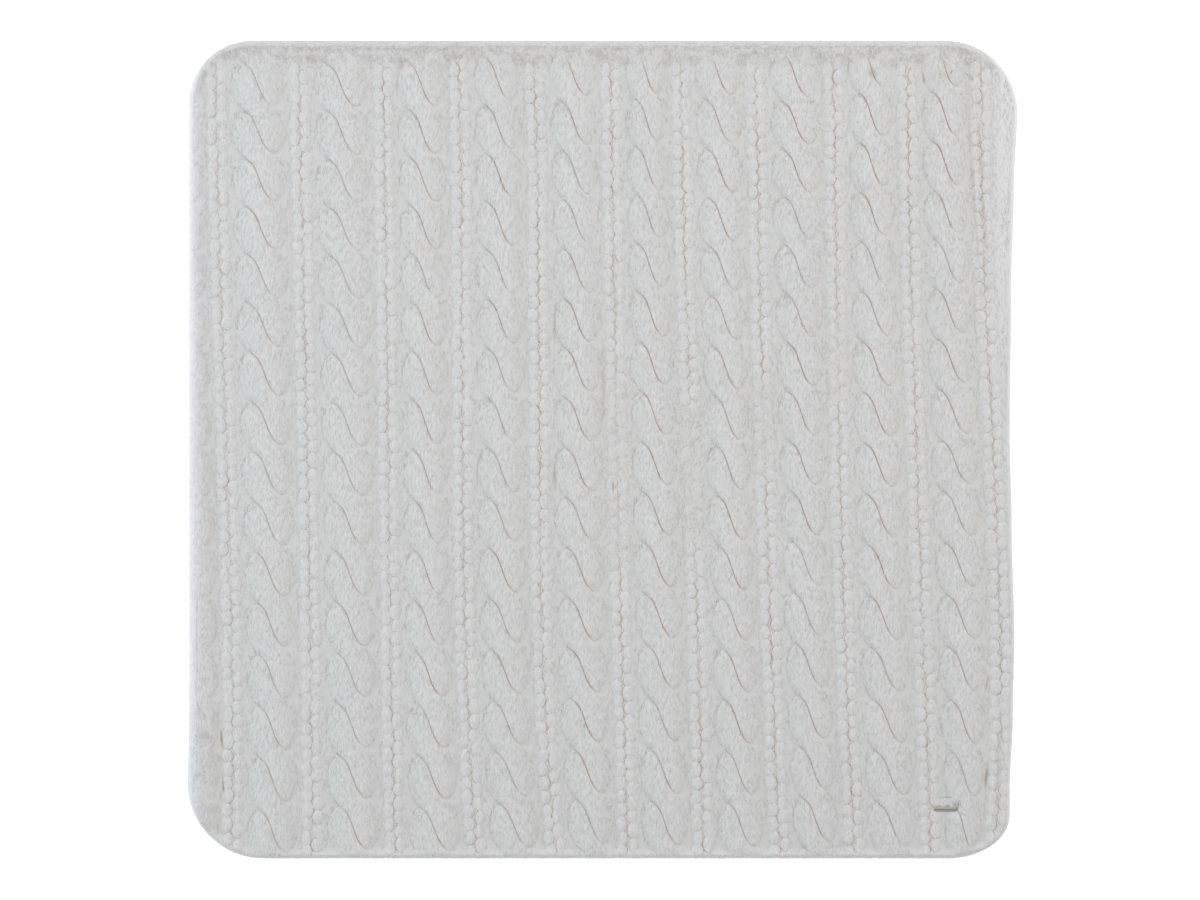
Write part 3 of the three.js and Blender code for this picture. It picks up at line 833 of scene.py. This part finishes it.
beadSizes = {
    "startY": 0.392, "pitch": 0.0132, "columnOffset": 0.0053, "jitter": 0.0009, "seed": 11,
    "halfAcross": 0.0065, "halfAlong": 0.0088, "unevenSize": 0.13, "sides": 12, "rings": 4,
    "height": 0.0016, "shortest": 0.65, "tallest": 1.25,
    "mattFlat": 0.8, "leastShare": 0.12, "rimSoft": 0.004,
    "sink": 0.0003, "baseSink": 0.0030, "baseBelow": 0.001, "baseWithin": 0.5,
    "lowestSeat": 0.0050, "castFrom": 0.1, "besideZ": 0.005,
    "fullTop": 2.4, "footCurve": 0.9, "softFrom": -0.1, "softTo": 0.8,
    "tintFrom": -0.3, "tintTo": 0.7, "seamSlope": 3.0, "shownSlope": 1.6, "footShade": 0.6,
    "leftColumnShadeFrom": 0.02, "leftColumnShadeOver": 0.08, "ribShift": 0.0010, "ribWidth": 1.15, "ribBelow": -0.15,
    **{key: relief[key] for key in ("stationTop", "stationStep", "stationReach")},
}
tuckedScale = (0.998, 0.998, 0.95)  # draws what lies past the rim just inside it
beadsInColumn = 61


def castDown(graph, size):  # where the cloth is under each point, and how far that place is from the rim
    x, y, z = graph.here()
    ray = graph.add("GeometryNodeRaycast", None, {
        "Target Geometry": size["Geometry"], "Attribute": graph.stored("rim"),
        "Source Position": graph.vector(x, y, size["castFrom"]), "Ray Direction": (0, 0, -1)}).socket.node
    return [Wire(graph, ray.outputs[name]) for name in ("Is Hit", "Hit Position", "Attribute")]


def beadPoints(graph, size):  # a point for each bead that shows, with how tall it stands
    index = graph.add("GeometryNodeInputIndex")
    strip = ((index + 0.5) / (2 * beadsInColumn)).floor()
    inStrip = index - strip * (2 * beadsInColumn)
    side = ((inStrip + 0.5) / beadsInColumn).floor()
    number = inStrip - side * beadsInColumn
    lastStrip = strip > len(strips) - 1.5
    evenY = size["startY"] - size["pitch"] * (number + 0.5 * side)
    y = evenY + graph.random(-1.0, 1.0, size["seed"]) * size["jitter"]
    rib = lastStrip * side * (y < size["ribBelow"])  # low down the last column is stretched towards the rim
    x = stripMiddle(graph, size, strip, y) + (side * 2 - 1) * size["columnOffset"]
    x = x + graph.random(-1.0, 1.0, size["seed"] + 1) * size["jitter"] + rib * size["ribShift"]
    points = graph.add("GeometryNodePoints", None, {
        "Count": 2 * beadsInColumn * len(strips), "Position": graph.vector(x, y, size["castFrom"])})
    values = {
        "inward": 1 - side * 2, "matt": mattedAt(strip, y), "wide": 1 + rib * (size["ribWidth"] - 1),
        # painted shade: from here up, the left column of the last strip has its seams darkened all round
        "bold": lastStrip * (1 - side) * y.rise(size["leftColumnShadeFrom"], size["leftColumnShadeFrom"] + size["leftColumnShadeOver"]),
    }
    for name, value in values.items():
        points = graph.store(points, name, value)

    hit, seat, rim = castDown(graph, size)
    points = graph.store(points, "seatZ", hit * graph.parts(seat)[2])
    points = graph.store(points, "rim", rim)
    points = graph.add("GeometryNodeDeleteGeometry", {"domain": "POINT"}, {
        "Geometry": points, "Selection": graph.stored("seatZ") < size["lowestSeat"]})
    shown = graph.stored("rim").rise(0.0, size["rimSoft"]) * (1 - bandAt(graph))
    flat = graph.stored("matt") * size["mattFlat"]
    uneven = graph.random(size["shortest"], size["tallest"], size["seed"] + 9)
    tall = size["height"] * uneven * (1 - flat) * shown
    points = graph.store(points, "tall", tall)
    return graph.add("GeometryNodeDeleteGeometry", {"domain": "POINT"}, {
        "Geometry": points, "Selection": graph.stored("tall") < size["height"] * size["leastShare"]})


def beadDomes(graph, size, points):  # a cone of rings on each point, still to be rounded and draped
    low, high = 1 - size["unevenSize"], 1 + size["unevenSize"]
    across = size["halfAcross"] * graph.random(low, high, size["seed"] + 10) * graph.stored("wide")
    scale = graph.vector(across, size["halfAlong"] * graph.random(low, high, size["seed"] + 11), 1.0)
    dome = graph.add("GeometryNodeMeshCone", {"fill_type": "TRIANGLE_FAN"}, {
        "Vertices": size["sides"], "Side Segments": size["rings"], "Radius Top": 0.0, "Radius Bottom": 1.0,
        "Depth": 1.0})
    domeX, domeY, domeZ = graph.here()
    radius = (domeX * domeX + domeY * domeY) ** 0.5
    dome = graph.store(dome, "radius", radius)
    dome = graph.store(dome, "acrossBead", domeX)
    underMiddle = (domeZ < size["baseBelow"]) * (radius < size["baseWithin"])
    dome = graph.store(dome, "base", underMiddle)
    beads = graph.add("GeometryNodeInstanceOnPoints", None, {
        "Points": points, "Instance": dome, "Scale": scale})
    return graph.add("GeometryNodeRealizeInstances", None, {"Geometry": beads})


def drapedBeads(graph, size, beads):  # each bead rounded, and laid over the cloth under it
    radius = graph.stored("radius")
    facing = graph.stored("acrossBead") * graph.stored("inward")
    full = (1 - radius ** size["fullTop"]).most(0) ** size["footCurve"]
    soft = (0.5 + 0.5 * (radius * math.pi).cosine()).most(0)
    outer = (-1 * facing).rise(size["softFrom"], size["softTo"])
    beads = graph.store(beads, "lift", blendOf(full, soft, outer))
    hit, seat, rim = castDown(graph, size)
    x, y, z = graph.parts(seat)
    base = graph.stored("base")
    height = graph.stored("lift") * graph.stored("tall") * (1 - base)
    draped = graph.vector(x, y, z + (height - size["sink"] - base * size["baseSink"]))
    outX, outY, outZ = graph.here()
    onRim = graph.add("GeometryNodeSampleNearestSurface", {"data_type": "FLOAT_VECTOR"}, {
        "Mesh": size["Geometry"], "Value": graph.add("GeometryNodeInputPosition"),
        "Sample Position": graph.vector(outX, outY, size["besideZ"])})
    tucked = graph.add("ShaderNodeVectorMath", {"operation": "MULTIPLY"}, {0: onRim, 1: tuckedScale})
    place = graph.add("GeometryNodeSwitch", {"input_type": "VECTOR"}, {
        "Switch": hit, "False": tucked, "True": draped})
    beads = graph.store(beads, "rim", rim)
    # the seam at each bead's foot towards the other column: brown of the shorn pile with painted crease shade
    tinted = facing.rise(size["tintFrom"], size["tintTo"]).most(graph.stored("bold"))
    shown = (graph.stored("tall") / size["height"] * size["shownSlope"]).limit(0, 1)
    atFoot = (radius * size["seamSlope"] - (size["seamSlope"] - 1)).limit(0, 1)
    beads = graph.store(beads, "seam", atFoot * tinted * shown)
    # painted shade at each bead's foot, stronger where the dome is low
    beads = graph.store(beads, "deep", (1 - graph.stored("lift")) ** 2 * size["footShade"] * shown)
    beads = graph.store(beads, "ruffled", graph.stored("matt"))
    beads = graph.moved(beads, place)
    return graph.add("GeometryNodeSetShadeSmooth", {"domain": "FACE"}, {
        "Geometry": beads, "Shade Smooth": True})


def beadTree(material):
    graph, size = newTree("beadColumns", beadSizes)
    beads = beadDomes(graph, size, beadPoints(graph, size))
    endTree(graph, drapedBeads(graph, size, beads), material)
    return graph.tree


beads = grow("beads", cloth.data.copy(), beadTree(fur), beadSizes)
print("beads set:", len(beads.data.polygons), "faces")


# Pile: short tufts that lie down the cloth, each a slim spike with a ridge

tuft = {  # what all tufts share, as shares of their own sizes where not in metres
    "bareFrom": 0.12, "bareTo": 0.5, "seamFrom": 0.3, "seamTo": 0.6, "sideFrom": -0.05, "sideTo": 0.15,
    "shortest": 0.65, "longest": 1.2, "narrowest": 0.7, "widest": 1.25, "flattest": 0.6, "sharpest": 1.3,
    "leastLean": 0.3, "mostLean": 1.4, "swayScale": 45.0, "swayDetail": 3.0,
    "pastRim": 0.0012, "baseShape": 1.732,
}
tuftRoom = {"roomShare": 1.1, "leastRoom": 0.3}  # for those that end before the next crease
tuftSeeds = {"stray": 31, "lean": 32, "length": 33, "width": 34, "ridge": 35, "shade": 36}


def pileTree(name, kind, sizes, material):
    graph, size = newTree(name, sizes)
    bare = graph.stored("crease").rise(size["bareFrom"], size["bareTo"])
    bare = bare.most(graph.stored("seam").rise(size["seamFrom"], size["seamTo"]))
    bare = bare.most(graph.stored("seat"))
    normalZ = graph.parts(graph.add("GeometryNodeInputNormal"))[2]
    thick = size["density"] * (1 - bare) * normalZ.rise(size["sideFrom"], size["sideTo"])
    if kind["where"]:
        thick = thick * graph.stored(kind["where"])
    scatter = graph.add("GeometryNodeDistributePointsOnFaces", {"distribute_method": "RANDOM"}, {
        "Mesh": size["Geometry"], "Density": thick, "Seed": size["seed"]})
    normal = Wire(graph, scatter.socket.node.outputs["Normal"])
    here = graph.add("GeometryNodeInputPosition")
    ruffle = 1 + graph.stored("ruffled") * size["ruffle"]
    angle = (graph.noise(here, size["swayScale"], size["swayDetail"]) - 0.5) * size["sway"] * ruffle
    angle = angle + graph.random(-1.0, 1.0, tuftSeeds["stray"]) * size["stray"]
    comb = graph.vector(angle.sine(), -1 * angle.cosine(), 0.0)
    turn = graph.add("FunctionNodeAxesToRotation", {"primary_axis": "Z", "secondary_axis": "Y"}, {
        "Primary Axis": (0.0, 0.0, 1.0) if kind["level"] else normal, "Secondary Axis": comb})
    lift = size["lean"] * graph.random(size["leastLean"], size["mostLean"], tuftSeeds["lean"])
    tilt = graph.add("FunctionNodeEulerToRotation", None, {0: graph.vector(lift, 0.0, 0.0)})
    turn = graph.add("FunctionNodeRotateRotation", {"rotation_space": "LOCAL"}, {0: turn, 1: tilt})
    long = size["length"] * graph.random(size["shortest"], size["longest"], tuftSeeds["length"])
    if kind["inRelief"]:
        room = graph.stored("room") * size["roomShare"]
        long = long.least(room.most(size["length"] * size["leastRoom"]))
    long = long.least(graph.stored("rim") + size["pastRim"])
    wide = size["width"] * graph.random(size["narrowest"], size["widest"], tuftSeeds["width"])
    high = size["ridge"] * graph.random(size["flattest"], size["sharpest"], tuftSeeds["ridge"])
    tufts = graph.store(scatter, "shade", graph.random(-1.0, 1.0, tuftSeeds["shade"]))
    spike = graph.add("GeometryNodeMeshCone", {"fill_type": "NGON"}, {
        "Vertices": 3, "Radius Top": 0.0, "Radius Bottom": 1.0, "Depth": 1.0})
    x, y, z = graph.here()
    spike = graph.moved(spike, graph.vector(y / size["baseShape"], z, x))
    tufts = graph.add("GeometryNodeInstanceOnPoints", None, {
        "Points": tufts, "Instance": spike, "Rotation": turn, "Scale": graph.vector(wide, long, high)})
    endTree(graph, tufts, material)
    return graph.tree


brow = {
    "overhang": 0.0008, "from": 0.0006, "reach": 0.0060, "gap": 0.0002, "sink": 0.0002,
    "columns": 16, "rows": 7, "castFrom": 0.05,
}


def browPatch():  # a patch above the tag that tufts grow on: over the tag's face, or just in the cloth
    columns, rows = brow["columns"], brow["rows"]
    left, width = tagX - tagHalfX - brow["overhang"], 2 * (tagHalfX + brow["overhang"])
    low, height = tagHigh[1] + brow["from"], brow["reach"] - brow["from"]
    points = []
    for row in range(rows):
        for column in range(columns):
            x = left + width * column / (columns - 1)
            y = low + height * row / (rows - 1)
            clothZ = cloth.ray_cast((x, y, brow["castFrom"]), (0, 0, -1))[1].z
            points.append((x, y, max(tagHigh[2] + brow["gap"], clothZ - brow["sink"])))
    faces = []
    for row in range(rows - 1):
        for column in range(columns - 1):
            first = row * columns + column
            faces.append((first, first + 1, first + columns + 1, first + columns))
    mesh = bpy.data.meshes.new("browPatch")
    mesh.from_pydata(points, [], faces)
    mesh.attributes.new("rim", "FLOAT", "POINT").data.foreach_set("value", [1.0] * len(points))
    return mesh


pileKinds = {
    "pileLower": {"from": cloth.data, "where": None, "inRelief": True, "level": False},
    "pileUpper": {"from": cloth.data, "where": None, "inRelief": True, "level": False},
    "pileBeads": {"from": beads.data, "where": None, "inRelief": False, "level": False},
    "pileRuffled": {"from": cloth.data, "where": "ruffled", "inRelief": True, "level": False},
    "pileBrow": {"from": browPatch(), "where": None, "inRelief": False, "level": True},
}
pileSizes = {
    "pileLower": {"density": 74000.0, "length": 0.0058, "width": 0.0013, "ridge": 0.00016, "lean": 0.05,
                  "sway": 1.1, "stray": 0.16, "ruffle": 1.2, "seed": 3},
    "pileUpper": {"density": 74000.0, "length": 0.0056, "width": 0.0011, "ridge": 0.00016, "lean": 0.08,
                  "sway": 1.1, "stray": 0.2, "ruffle": 1.2, "seed": 4},
    "pileBeads": {"density": 222000.0, "length": 0.0028, "width": 0.0009, "ridge": 0.00012, "lean": 0.05,
                  "sway": 1.1, "stray": 0.2, "ruffle": 0.8, "seed": 5},
    "pileRuffled": {"density": 300000.0, "length": 0.0060, "width": 0.0013, "ridge": 0.0002, "lean": 0.04,
                    "sway": 1.6, "stray": 0.4, "ruffle": 1.0, "seed": 6},
    "pileBrow": {"density": 5000000.0, "length": 0.0044, "width": 0.0012, "ridge": 0.0002, "lean": 0.05,
                 "sway": 0.4, "stray": 0.12, "ruffle": 0.0, "seed": 8},
}
piles = []
for name, kind in pileKinds.items():
    sizes = {**tuft, **(tuftRoom if kind["inRelief"] else {}), **pileSizes[name]}
    piles.append(grow(name, kind["from"].copy(), pileTree(name, kind, sizes, fur), sizes))
    print(name, "grown:", len(piles[-1].data.polygons), "faces")


# The tag: a small plate of brushed metal, half under the pile

tagLook = {
    "tone": (0.52, 0.51, 0.47), "lowerShadeTone": (0.290, 0.284, 0.260), "metallic": 0.6, "roughness": 0.42,
    "brushScale": 4000.0, "brushStretch": 0.1, "brushTone": 0.6, "brushShare": 0.3,
    "brushBand": (0.2, 0.8), "lowerShadeBand": (0.32, 0.38), "lineShown": 0.60, "lineShare": 0.03,
    "lineBand": (0.03, 0.09),
}


def tagMaterial(look):
    material = bpy.data.materials.new("tagMetal")
    material.use_nodes = True
    graph = Graph(material.node_tree)
    shader = material.node_tree.nodes["Principled BSDF"]
    place = graph.add("ShaderNodeTexCoord", None, None, "Object")
    brushed = graph.add("ShaderNodeMapping", None, {
        "Vector": place, "Scale": (look["brushStretch"], 1.0, 1.0)})
    streak = graph.noise(brushed, look["brushScale"])
    y = graph.parts(place)[1]
    share = (y - tagLow[1]) / (2 * tagHalfY)
    # painted shade: the lower share of the plate is darker than its upper face, with a thin paler line at its
    # bottom edge
    lowerShade = 1 - share.rise(*look["lowerShadeBand"])
    line = 1 - abs(share - look["lineShare"]).rise(*look["lineBand"])
    brushTone = tuple(c * look["brushTone"] for c in look["tone"])
    tone = graph.mixed(streak.rise(*look["brushBand"]) * look["brushShare"], look["tone"], brushTone)
    tone = graph.mixed(lowerShade * (1 - line * look["lineShown"]), tone, look["lowerShadeTone"])
    material.node_tree.links.new(tone.socket, shader.inputs["Base Color"])
    shader.inputs["Metallic"].default_value = look["metallic"]
    shader.inputs["Roughness"].default_value = look["roughness"]
    return material


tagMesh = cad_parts["tag"].data
tagMesh.materials.clear()
tagMesh.materials.append(tagMaterial(tagLook))
print("tag finished")

for piece in (cloth, beads, *piles):
    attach(piece, "root")
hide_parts("blanket")
